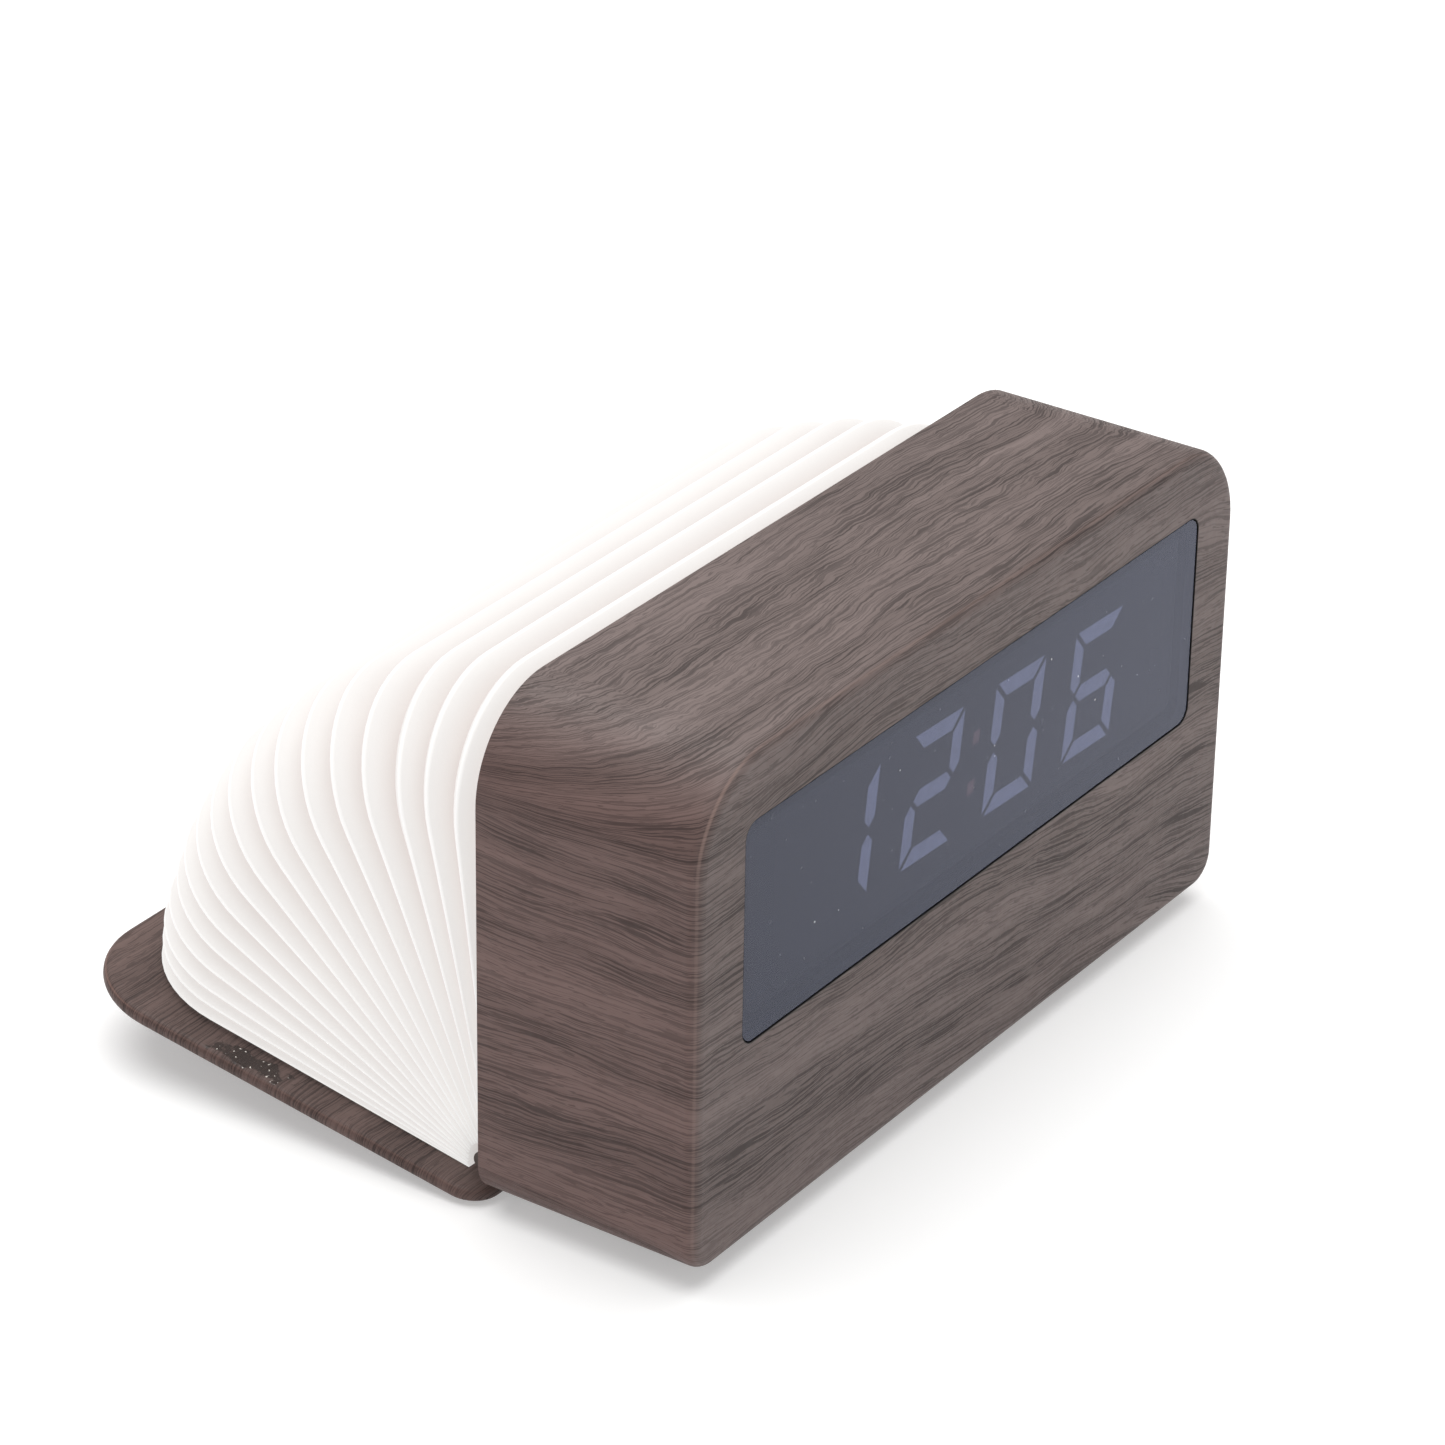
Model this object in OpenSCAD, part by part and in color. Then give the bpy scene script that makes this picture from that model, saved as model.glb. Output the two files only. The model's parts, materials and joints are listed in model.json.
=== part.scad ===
// Digital alarm clock whose back opens like a book into a pleated paper lamp.
// X runs along the clock's width, the display faces -Y, +Z is up.
// The origin is on the table, under the middle of the clock body.

/* [Body] */
// Width of the clock body
body_w = 181; // [175:1:190]
// Height of the clock body, without the rubber pad under it
body_h = 100; // [98:1:110]
// Depth of the clock body, front to back
body_d = 47.5; // [46:0.5:56]
// Radius of the two upper corners, seen from the front
top_r = 20; // [16:1:24]
// Radius of the two lower corners, seen from the front
bottom_r = 6.5; // [6:0.5:8]
// Radius of the rounded edge around the front face
edge_r = 2.5; // [1.5:0.5:3]
// Thickness of the side walls
wall = 3; // [2.5:0.5:4]
// Thickness of the front wall
front_wall = 4; // [3.5:0.5:5]
// Height of the rubber pad under the clock
foot_h = 4; // [3.8:0.1:6]

/* [Display] */
// Width of the smoked window
window_w = 152; // [148:1:156]
// Height of the smoked window
window_h = 44; // [40:1:45]
// Height of the window's centre above the underside of the body
window_up = 63.7; // [62:0.1:66]
// Corner radius of the window
window_r = 3; // [2:0.5:6]
// Height of a digit
digit_h = 26.2; // [20:0.2:27]
// Width of a digit
digit_w = 17.2; // [12:0.2:18]
// Distance from one digit to the next
digit_pitch = 28; // [24:0.5:29]
// Width of a segment's bar
segment_t = 3.3; // [2:0.1:3.5]
// Lean of the digits, in degrees
digit_lean = 6; // [0:0.5:12]
// How far the row of digits is turned down to the right, in degrees
row_turn = 2.2; // [0:0.1:2.5]

/* [Cover and hinge] */
// Thickness of the back cover
cover_t = 3; // [2.5:0.1:3.2]
// Space left for the folded paper when the cover is shut
fold_gap = 7; // [6.8:0.1:8]
// How far the cover stands open, in degrees from shut
open_angle = 82; // [60:1:88]
// Distance from the back of the body to the hinge pin
pin_back = 3; // [2.8:0.1:3.4]
// Height of the hinge pin above the underside of the body
pin_up = 3.8; // [3.6:0.1:4.2]
// Outer radius of the hinge barrel
knuckle_r = 1.9; // [1.7:0.1:2]
// Number of barrel pieces, shared in turn by body and cover
knuckle_count = 7; // [5:2:9]

/* [Paper] */
// Number of outward folds in the paper
pleats = 18; // [12:1:20]
// Distance from the cover's edge in to the paper's outer folds
paper_inset = 6; // [5:0.5:8]
// Depth of a pleat, from outer fold to inner fold
pleat_depth = 8; // [6:0.5:10]
// How far the middle folds lean towards the cover, in degrees
fan_lean = 7.6; // [0:0.2:8]
// Radius of the paper's two outer corners
paper_r = 25; // [22:1:30]

/* [Buttons] */
// Diameter of a push button
button_d = 5.6; // [5:0.1:6.5]
// How far a button travels
button_travel = 0.6; // [0.4:0.1:0.7]
// Height of the lowest button's centre above the underside of the body
button_up = 38; // [34:1:40]
// Distance from one button to the next
button_pitch = 11; // [9:0.5:11]

/* [Hidden] */
$fn = 64;

// Main planes of the body
front_y = -body_d / 2;
back_y = body_d / 2;
side_x = body_w / 2;
inner_x = side_x - wall;
floor_z = foot_h + wall;
top_z = foot_h + body_h;
gap = 0.15;
merge = 0.2;
base_w = 156;
base_d = 30;
base_r = 6;

// Hinge and cover
pin_y = back_y + pin_back;
pin_z = foot_h + pin_up;
pin_r = 0.8;
pin_clearance = 0.05;
barrel_end = 0.8;
cover_inner_y = back_y + fold_gap;
hinge_half = side_x - 5;
knuckle_pitch = 2 * hinge_half / knuckle_count;

// Window and display, counted back from the front face
window_t = 1.9;
window_recess = 0.2;
adhesive_t = 0.3;
ledge = 4;
window_z = foot_h + window_up;
ledge_y = front_y + window_recess + window_t + adhesive_t;
mask_y = front_y + window_recess + window_t + gap;
mask_depth = 7;
mask_w = 128;
mask_h = 34;
row_x = 1;
row_up = 0.4;
board_t = 1.6;
display_board_y = mask_y + mask_depth;
display_board_w = 160;
display_board_h = 36;
display_screw_x = 76;
display_screw_z = 12;
digit_step = 0.7;
colon_rise = 5;
insert_t = 1;
insert_fit = 0.1;
// Segments a to g in the order 0 to 6, as lit to show the time
LIT = [[1, 2], [0, 1, 6, 4, 3], [0, 1, 2, 3, 4, 5], [0, 5, 6, 4, 2, 3]];

// Back panel and its lamp
panel_t = 3;
panel_fit = 0.15;
panel_y = back_y - panel_t;
lamp_w = 120;
lamp_h = 48;
lamp_z = foot_h + 52;
lamp_board_y = 12;
lamp_post_x = 66;
lamp_post_z = 28;
diffuser_flange = 4;
diffuser_t = 1.5;
diffuser_proud = 1;
PANEL_SCREWS = [for (s = [-1, 1]) each [
    [s * (inner_x - 4), foot_h + 18], [s * (inner_x - 4), foot_h + 66], [s * 40, top_z - wall - 4]
]];
boss_r = 4;
boss_front_y = 10;
magnet_r = 5;
magnet_t = 1.8;
magnet_x = 68;
magnet_z = foot_h + 62;
trigger_r = 3;
sensor_z = top_z - 19;
sensor_size = 4;
sensor_t = 1.8;
sensor_pocket = 1.6;

// Main board, on posts at the right of the floor
main_z = floor_z + 5;
main_x0 = 22;
main_w = 64;
main_d = 33;
main_y0 = -16;
MAIN_POSTS = [for (x = [26, 76], y = [-13, 14]) [x, y]];
top_of_board = main_z + board_t;
usb_y = 4;
usb_up = 1.6;
plug_x = 29;
plug_d = 3.5;
plug_h = 4.5;
cell_plug_y = -15.5;
lamp_plug_y = 13;
ribbon_t = 0.3;
ribbon_w = 4;
ribbon_y = -8;
coin_x = 40.5;
coin_y = 0;
coin_r = 10;
coin_t = 3.2;
coin_floor = 1.2;
sound_y = -11;
sound_z = top_of_board + 6;

// Button board, upright inside the right wall
button_z0 = foot_h + button_up;
button_y = -1;
switch_h = 3.2;
flange_t = 0.8;
flange_x = inner_x - 0.1 - flange_t;
flange_r = button_d / 2 + 1;
button_proud = 1;
button_board_x = flange_x - button_travel - 0.2 - switch_h - board_t;
BUTTON_POSTS = [button_z0 - 9, button_z0 + 3 * button_pitch + 7];

// Rechargeable cell, lying at the left of the floor
cell_r = 9.2;
cell_len = 65;
cell_x0 = -72;
cradle_floor = 1.6;
cell_z = floor_z + cradle_floor + cell_r + 0.1;
cradle_end = 3;
contact_t = 0.5;
lead_y = cell_plug_y + plug_d / 2;
black_z = floor_z + 15.5;
red_z = floor_z + 17.5;

// Upright slab from y0 to y1 with its outline drawn in X and Z
module slab(y0, y1) {
    translate([0, y1, 0]) rotate([90, 0, 0]) linear_extrude(y1 - y0) children();
}

// The book outline shared by body, panel and cover, drawn in X and Z
module outline(inset = 0) {
    w = body_w / 2 - inset;
    h = body_h - 2 * inset;
    rt = top_r - inset;
    rb = bottom_r - inset;
    translate([0, foot_h + inset]) {
        translate([-w, rb]) square([2 * w, h - rt - rb]);
        translate([rt - w, h - rt - merge]) square([2 * (w - rt), rt + merge]);
        translate([rb - w, 0]) square([2 * (w - rb), rb + merge]);
        for (s = [-1, 1]) {
            translate([s * (w - rt), h - rt]) circle(rt);
            translate([s * (w - rb), rb]) circle(rb);
        }
    }
}

// Section through a rounded rim: r outward from the rim's centre line, depth along Y,
// e0 and e1 the rounding of its front and back edges
module rim_section(r, depth, e0, e1) {
    translate([0, e0]) square([r, depth - e0 - e1]);
    square([r - e0, depth - e1]);
    translate([r - e0, e0]) circle(e0);
    if (e1 > 0) {
        translate([0, e0]) square([r - e1, depth - e0]);
        translate([r - e1, depth - e1]) circle(e1);
    }
}

// Solid of the book outline from y0 to y1 with rounded front and back edges
module book_solid(y0, y1, e0, e1 = 0) {
    depth = y1 - y0;
    w = body_w / 2;
    z0 = foot_h + bottom_r;
    z1 = top_z - top_r;
    for (s = [-1, 1]) {
        translate([s * (w - top_r), y0, z1]) rotate([-90, 0, 0]) rotate(s > 0 ? -90 : 180)
            rotate_extrude(angle = 90) rim_section(top_r, depth, e0, e1);
        translate([s * (w - bottom_r), y0, z0]) rotate([-90, 0, 0]) rotate(s > 0 ? 0 : 90)
            rotate_extrude(angle = 90) rim_section(bottom_r, depth, e0, e1);
    }
    translate([w - top_r, y0, z1]) rotate([0, -90, 0]) linear_extrude(2 * (w - top_r))
        rim_section(top_r, depth, e0, e1);
    translate([bottom_r - w, y0, z0]) rotate([0, 90, 0]) linear_extrude(2 * (w - bottom_r))
        rim_section(bottom_r, depth, e0, e1);
    translate([w - bottom_r, y0, z0]) linear_extrude(z1 - z0) rim_section(bottom_r, depth, e0, e1);
    translate([bottom_r - w, y0, z1]) rotate([0, 180, 0]) linear_extrude(z1 - z0)
        rim_section(bottom_r, depth, e0, e1);
    translate([bottom_r - w, y0, z0]) cube([2 * (w - bottom_r), depth, z1 - z0]);
}

// Rectangle with round corners, centred
module round_rect(w, h, r) {
    square([w - 2 * r, h], center = true);
    square([w, h - 2 * r], center = true);
    for (x = [-1, 1], y = [-1, 1]) translate([x * (w / 2 - r), y * (h / 2 - r)]) circle(r);
}

// Round bar or hole along Y
module y_rod(x, z, y0, y1, r) {
    translate([x, y1, z]) rotate([90, 0, 0]) cylinder(h = y1 - y0, r = r);
}

// Round bar or hole along X
module x_rod(y, z, x0, x1, r) {
    translate([x0, y, z]) rotate([0, 90, 0]) cylinder(h = x1 - x0, r = r);
}

// Pan-head screw with its tip at the origin end and its head's underside at height len
module screw(len, r, head_r, head_h) {
    cylinder(h = len + merge, r = r);
    difference() {
        translate([0, 0, len]) cylinder(h = head_h, r = head_r);
        for (a = [0, 90]) rotate(a)
            translate([-head_r * 0.6, -0.25, len + head_h - 0.6]) cube([head_r * 1.2, 0.5, 1]);
    }
}

// ---------------------------------------------------------------- housing

// Screw post at the back edge of the shell, blended into the wall
module panel_boss(p) {
    y_rod(p[0], p[1], boss_front_y, panel_y, boss_r);
    toward_x = abs(p[0]) > body_w / 3 ? sign(p[0]) * boss_r : 0;
    toward_z = abs(p[0]) > body_w / 3 ? 0 : boss_r;
    translate([p[0] + min(toward_x, 0) - (toward_z > 0 ? boss_r : 0), boss_front_y,
               p[1] - (toward_z > 0 ? 0 : boss_r)])
        cube([toward_z > 0 ? 2 * boss_r : boss_r + merge, panel_y - boss_front_y,
              toward_z > 0 ? boss_r + merge : 2 * boss_r]);
}

module housing_shell() {
    color("#5f514c") difference() {
        union() {
            difference() {
                book_solid(front_y, back_y, edge_r);
                slab(front_y + front_wall, back_y + 1) outline(wall);
            }
            for (p = PANEL_SCREWS) panel_boss(p);
            for (x = [-1, 1], z = [-1, 1])
                y_rod(x * display_screw_x, window_z + z * display_screw_z,
                      front_y + front_wall - merge, display_board_y, 2.6);
            for (p = MAIN_POSTS) translate([p[0], p[1], floor_z - merge])
                cylinder(h = main_z - floor_z + merge, r = 2.8);
            for (z = BUTTON_POSTS)
                x_rod(button_y, z, button_board_x + board_t, inner_x + merge, 2.6);
        }
        // window pocket and the opening behind it
        translate([0, 0, window_z]) {
            slab(front_y - 1, ledge_y) round_rect(window_w + 0.6, window_h + 0.6, window_r + 0.3);
            slab(front_y, front_y + front_wall + 1)
                round_rect(window_w - 2 * ledge, window_h - 2 * ledge, 2);
        }
        // pilot holes
        for (p = PANEL_SCREWS) y_rod(p[0], p[1], boss_front_y + 1, panel_y + 1, 1.02);
        for (x = [-1, 1], z = [-1, 1])
            y_rod(x * display_screw_x, window_z + z * display_screw_z,
                  front_y + front_wall, display_board_y + 1, 1.02);
        for (p = MAIN_POSTS) translate([p[0], p[1], floor_z]) cylinder(h = 8, r = 1.02);
        for (z = BUTTON_POSTS) x_rod(button_y, z, button_board_x, inner_x - 0.5, 1.02);
        // buttons, USB mouth and the alarm's sound holes
        for (i = [0:3])
            x_rod(button_y, button_z0 + i * button_pitch, inner_x - 1, side_x + 1, button_d / 2 + gap);
        translate([inner_x - 1, usb_y, top_of_board + usb_up]) rotate([90, 0, 90])
            linear_extrude(wall + 2) round_rect(9.3, 3.5, 1.7);
        for (a = [0:60:359])
            x_rod(sound_y + 3.5 * cos(a), sound_z + 3.5 * sin(a), inner_x - 1, side_x + 1, 0.8);
    }
}

// Barrel pieces numbered from the left; even ones belong to the body, odd ones to the cover
function knuckle_x(i) = -hinge_half + i * knuckle_pitch;

module knuckle(i) {
    x_rod(pin_y, pin_z, knuckle_x(i) + gap, knuckle_x(i + 1) - gap, knuckle_r);
}

// Bore through the whole barrel, closed by its left end
module pin_bore() {
    x_rod(pin_y, pin_z, barrel_end - hinge_half, side_x, pin_r + pin_clearance);
}

module rear_panel() {
    color("#5a4c47") difference() {
        union() {
            slab(panel_y, back_y) outline(wall + panel_fit);
            for (i = [0:2:knuckle_count - 1]) {
                knuckle(i);
                translate([knuckle_x(i) + gap, back_y - merge, pin_z])
                    cube([knuckle_pitch - 2 * gap, pin_back + merge, knuckle_r]);
            }
            for (x = [-1, 1], z = [-1, 1])
                y_rod(x * lamp_post_x, lamp_z + z * lamp_post_z, lamp_board_y + board_t,
                      panel_y + merge, 2.8);
        }
        pin_bore();
        for (p = PANEL_SCREWS) {
            y_rod(p[0], p[1], panel_y - 1, back_y + 1, 1.3);
            y_rod(p[0], p[1], back_y - 1.4, back_y + 1, 2.4);
        }
        for (x = [-1, 1], z = [-1, 1])
            y_rod(x * lamp_post_x, lamp_z + z * lamp_post_z, lamp_board_y, back_y - 1.2, 1.02);
        translate([0, 0, lamp_z]) slab(panel_y - 1, back_y + 1) round_rect(lamp_w, lamp_h, 5);
        for (x = [-1, 1]) y_rod(x * magnet_x, magnet_z, back_y - magnet_t - 0.1, back_y + 1, magnet_r + 0.05);
        // flat pocket for the lid sensor, cut from inside
        translate([0, 0, sensor_z]) slab(panel_y - 1, panel_y + sensor_pocket)
            square(sensor_size + 1.2, center = true);
    }
}

module panel_screws() {
    color("silver") for (p = PANEL_SCREWS)
        translate([p[0], back_y - 1.4 - 8, p[1]]) rotate([-90, 0, 0]) screw(8, 1, 2.2, 1.3);
}

// One non-slip pad under the clock, with a small bevel round its lower edge
module rubber_base() {
    bevel = 0.8;
    color("#232323") {
        linear_extrude(bevel + merge) round_rect(base_w - 2 * bevel, base_d - 2 * bevel, base_r - bevel);
        translate([0, 0, bevel]) linear_extrude(foot_h - bevel) round_rect(base_w, base_d, base_r);
    }
}

// ---------------------------------------------------------------- display

module display_window() {
    color("#4a4f5a") translate([0, 0, window_z])
        slab(front_y + window_recess, front_y + window_recess + window_t)
            round_rect(window_w, window_h, window_r);
}

module window_adhesive() {
    color("#15161a") translate([0, 0, window_z]) slab(ledge_y - adhesive_t, ledge_y) difference() {
        round_rect(window_w - 1, window_h - 1, window_r - 0.5);
        round_rect(window_w - 2 * ledge + 1, window_h - 2 * ledge + 1, 2.5);
    }
}

// Corner points of one segment: a half width, b half height, t bar width, g gap at the mitres
function segment_points(i, a, b, t, g) =
    i == 0 ? [[-a + g, b], [a - g, b], [a - t - g, b - t], [-a + t + g, b - t]] :
    i == 1 ? [[a, b - g], [a, g + t / 2], [a - t / 2, g], [a - t, g + t / 2], [a - t, b - t - g]] :
    i == 6 ? [[-a + t / 2 + g, 0], [-a + t + g, t / 2], [a - t - g, t / 2],
              [a - t / 2 - g, 0], [a - t - g, -t / 2], [-a + t + g, -t / 2]] :
    i == 3 ? [for (p = segment_points(0, a, b, t, g)) [p[0], -p[1]]] :
    i == 2 ? [for (p = segment_points(1, a, b, t, g)) [p[0], -p[1]]] :
    i == 5 ? [for (p = segment_points(1, a, b, t, g)) [-p[0], p[1]]] :
    [for (p = segment_points(1, a, b, t, g)) [-p[0], -p[1]]];

// A point of the display, x along the row and z up from its middle, leaned and turned into place
function placed(x, z) = let (u = x + z * tan(digit_lean))
    [row_x + u * cos(row_turn) + z * sin(row_turn), row_up - u * sin(row_turn) + z * cos(row_turn)];

function digit_x(k) = (k - 1.5) * digit_pitch;

// One segment's outline, grown all round by fit
module segment(k, i, fit = 0) {
    translate([0, window_z]) polygon([for (p = segment_points(
        i, digit_w / 2 + fit, digit_h / 2 + fit, segment_t + 2 * fit, digit_step - fit / 2))
        placed(digit_x(k) + p[0], p[1])]);
}

module colon(fit = 0) {
    for (v = [-1, 1]) translate([0, window_z]) polygon([for (p = [[-1, -1], [1, -1], [1, 1], [-1, 1]])
        placed(p[0] * (1.1 + fit), v * colon_rise + p[1] * (1.3 + fit))]);
}

function is_lit(k, i) = len([for (s = LIT[k]) if (s == i) s]) > 0;

module segment_inserts(lit) {
    slab(mask_y, mask_y + insert_t)
        for (k = [0:3], i = [0:6]) if (is_lit(k, i) == lit) segment(k, i);
}

module segments_lit() {
    color("#9db4e6") segment_inserts(true);
}

module segments_unlit() {
    color("#585d68") segment_inserts(false);
}

module colon_dots() {
    color("#7d6a72") slab(mask_y, mask_y + insert_t) colon();
}

module display_mask() {
    color("#3c4048") difference() {
        translate([0, 0, window_z]) slab(mask_y, display_board_y) round_rect(mask_w, mask_h, 1.5);
        slab(mask_y - 1, display_board_y + 1) {
            for (k = [0:3], i = [0:6]) segment(k, i, insert_fit);
            colon(insert_fit);
        }
    }
}

module display_board() {
    color("#1d4a34") translate([0, 0, window_z]) slab(display_board_y, display_board_y + board_t)
        difference() {
            round_rect(display_board_w, display_board_h, 1.5);
            for (x = [-1, 1], z = [-1, 1])
                translate([x * display_screw_x, z * display_screw_z]) circle(1.2);
        }
}

// Middle of a segment, for the chip that lights it
function segment_middle(i) = let (p = segment_points(i, digit_w / 2, digit_h / 2, segment_t, digit_step))
    [for (c = [0, 1]) (max([for (q = p) q[c]]) + min([for (q = p) q[c]])) / 2];

module display_leds() {
    chip = 0.8;
    color("#e9e6c8") {
        for (k = [0:3], i = [0:6]) let (m = segment_middle(i), at = placed(digit_x(k) + m[0], m[1]))
            translate([at[0] - chip, display_board_y - chip, window_z + at[1] - chip / 2])
                cube([2 * chip, chip, chip]);
        for (v = [-1, 1]) let (at = placed(0, v * colon_rise))
            translate([at[0] - chip / 2, display_board_y - chip, window_z + at[1] - chip / 2]) cube(chip);
    }
}

module display_driver() {
    color("#202226") translate([-40, display_board_y + board_t, window_z - 3]) cube([10, 1.7, 6]);
}

module display_screws() {
    color("silver") for (x = [-1, 1], z = [-1, 1])
        translate([x * display_screw_x, display_board_y + board_t - 6, window_z + z * display_screw_z])
            rotate([-90, 0, 0]) screw(6, 1, 1.9, 1.3);
}

// ---------------------------------------------------------------- main board

module main_board() {
    color("#1d4a34") difference() {
        translate([main_x0, main_y0, main_z]) cube([main_w, main_d, board_t]);
        for (p = MAIN_POSTS) translate([p[0], p[1], main_z - 1]) cylinder(h = board_t + 2, r = 1.2);
    }
}

module main_board_screws() {
    color("silver") for (p = MAIN_POSTS)
        translate([p[0], p[1], top_of_board - 6]) screw(6, 1, 1.9, 1.3);
}

module processor() {
    size = 10;
    color("#1b1c20") translate([53, -9.8, top_of_board]) cube([size, size, 1.5]);
}

module crystal() {
    can_r = 1.3;
    can_len = 7;
    color("#b9bcc2") translate([68, 0, top_of_board + can_r]) rotate([-90, 0, 0])
        cylinder(h = can_len, r = can_r);
}

module buzzer() {
    can_r = 6;
    can_h = 6;
    color("#141518") translate([59, 8.5, top_of_board]) difference() {
        cylinder(h = can_h, r = can_r);
        translate([0, 0, can_h - 1]) cylinder(h = 2, r = 1.2);
    }
}

module cell_holder() {
    w = 24;
    d = 23;
    h = 4.6;
    finger_w = 8;
    color("#26272b") translate([coin_x, coin_y, top_of_board]) difference() {
        translate([-w / 2, -d / 2, 0]) cube([w, d, h]);
        translate([0, 0, coin_floor]) cylinder(h = h, r = coin_r + 0.1);
        translate([-w, -finger_w / 2, coin_floor + coin_t / 2]) cube([2 * w, finger_w, h]);
    }
}

module coin_cell() {
    color("#c3c5c9") translate([coin_x, coin_y, top_of_board + coin_floor]) cylinder(h = coin_t, r = coin_r);
}

module usb_socket() {
    length = 8.6;
    w = 8.9;
    h = 2 * usb_up;
    tongue_w = 6.6;
    tongue_t = 0.7;
    color("#aeb2b8") translate([side_x - 0.3 - length, usb_y, top_of_board + usb_up]) rotate([90, 0, 90]) {
        difference() {
            linear_extrude(length) round_rect(w, h, 1.5);
            translate([0, 0, 1.5]) linear_extrude(length) round_rect(w - 0.6, h - 0.6, 1.25);
        }
        translate([-tongue_w / 2, -tongue_t / 2, 1]) cube([tongue_w, tongue_t, length - 2]);
    }
}

// Plugs for the leads of the cell and the lamp, and for the ribbons of the display and buttons
module board_connectors() {
    color("#e4e1d3") {
        for (y = [cell_plug_y, lamp_plug_y])
            translate([plug_x, y, top_of_board]) cube([6, plug_d, plug_h]);
        translate([button_board_x - 2, ribbon_y - 1, top_of_board]) cube([4, ribbon_w + 2, 4]);
        translate([54, -13.4, top_of_board]) cube([16, 3, 3]);
        translate([54, display_board_y + board_t, window_z - 14]) cube([16, 2.4, 4]);
    }
}

// Flat ribbon from the main board up to the display board
module display_ribbon() {
    color("#d9d7d0") translate([55, display_board_y + board_t + 1, top_of_board + 3])
        cube([14, ribbon_t, window_z - 14 - top_of_board - 3]);
}

// ---------------------------------------------------------------- buttons

module button_board() {
    z0 = BUTTON_POSTS[0] - 4;
    z1 = BUTTON_POSTS[1] + 4;
    color("#1d4a34") difference() {
        translate([button_board_x, button_y - 7, z0]) cube([board_t, 14, z1 - z0]);
        for (z = BUTTON_POSTS) x_rod(button_y, z, button_board_x - 1, button_board_x + board_t + 1, 1.2);
    }
}

module button_board_screws() {
    color("silver") for (z = BUTTON_POSTS)
        translate([button_board_x + 5, button_y, z]) rotate([0, -90, 0]) screw(5, 1, 1.9, 1.3);
}

module tact_switches() {
    color("#2a2b30") for (i = [0:3])
        translate([button_board_x + board_t, button_y, button_z0 + i * button_pitch]) rotate([0, 90, 0])
            difference() {
                translate([-3, -3, 0]) cube([6, 6, switch_h]);
                translate([0, 0, switch_h - 2.2]) cylinder(h = 4, r = 1.4);
            }
}

// One push button: rounded cap, holding flange and the stem that works the switch
module push_button(i) {
    cap_r = button_d / 2;
    round_off = 0.5;
    cap_top = side_x + button_proud - flange_x;
    color("#3a3230") translate([flange_x, button_y, button_z0 + i * button_pitch]) rotate([0, 90, 0])
        rotate_extrude() union() {
            square([flange_r, flange_t]);
            square([cap_r, cap_top - round_off]);
            square([cap_r - round_off, cap_top]);
            translate([cap_r - round_off, cap_top - round_off]) circle(round_off);
            translate([0, -1.7]) square([1.2, 2]);
        }
}

module set_button() {
    push_button(0);
}

module up_button() {
    push_button(1);
}

module down_button() {
    push_button(2);
}

module lamp_button() {
    push_button(3);
}

// Flat ribbon from the button board down to its plug on the main board
module button_ribbon() {
    z0 = top_of_board + 4;
    color("#d9d7d0") translate([button_board_x - ribbon_t, ribbon_y, z0])
        cube([ribbon_t, ribbon_w, BUTTON_POSTS[0] + 3 - z0]);
}

// ---------------------------------------------------------------- rechargeable cell

module battery_cell() {
    color("#3a78b5") {
        x_rod(0, cell_z, cell_x0, cell_x0 + cell_len - 1.5, cell_r);
        x_rod(0, cell_z, cell_x0, cell_x0 + cell_len, 3);
    }
}

module battery_cradle() {
    x0 = cell_x0 - cradle_end - 1;
    x1 = cell_x0 + cell_len + cradle_end + 1;
    color("#222327") difference() {
        translate([x0, -11, floor_z]) cube([x1 - x0, 22, 14]);
        x_rod(0, cell_z, x0 + cradle_end, x1 - cradle_end, cell_r + 0.1);
        translate([x0 + cradle_end, -cell_r - 0.1, cell_z])
            cube([x1 - x0 - 2 * cradle_end, 2 * cell_r + 0.2, 14]);
    }
}

// Upright contact plates, each with a tab over the cradle's wall for its lead
module battery_contacts() {
    color("#c9cbd0") for (c = [[cell_x0 - 0.6, black_z], [cell_x0 + cell_len + 0.1, red_z]]) {
        translate([c[0], -4, floor_z + 3]) cube([contact_t, 8, 15.5]);
        translate([c[0], lead_y - 0.8, c[1] - 0.9]) cube([contact_t, -4 - lead_y + 0.8 + merge, 1.8]);
    }
}

// A lead that leaves its contact at x0, runs over to the main board's plug and turns down into it
module battery_lead(x0, x1, z) {
    bend = 4;
    r = 0.6;
    x_rod(lead_y, z, x0, x1 - bend, r);
    translate([x1 - bend, lead_y, z - bend]) rotate([90, 0, 0]) rotate_extrude(angle = 90)
        translate([bend, 0]) circle(r);
    translate([x1, lead_y, top_of_board + plug_h]) cylinder(h = z - bend - top_of_board - plug_h, r = r);
}

module battery_lead_red() {
    color("#b3231f") battery_lead(cell_x0 + cell_len + 0.1 + contact_t, plug_x + 4.5, red_z);
}

module battery_lead_black() {
    color("#161616") battery_lead(cell_x0 - 0.6 + contact_t, plug_x + 2.5, black_z);
}

// ---------------------------------------------------------------- lamp

module lamp_board() {
    color("#e8e8e4") translate([0, 0, lamp_z]) slab(lamp_board_y, lamp_board_y + board_t) difference() {
        round_rect(2 * lamp_post_x + 8, 2 * lamp_post_z + 8, 2);
        for (x = [-1, 1], z = [-1, 1]) translate([x * lamp_post_x, z * lamp_post_z]) circle(1.2);
    }
}

module lamp_leds() {
    color("#f4e08a") for (x = [-50:20:50], z = [-16:16:16])
        translate([x - 1.75, lamp_board_y + board_t, lamp_z + z - 1.4]) cube([3.5, 0.8, 2.8]);
}

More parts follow.
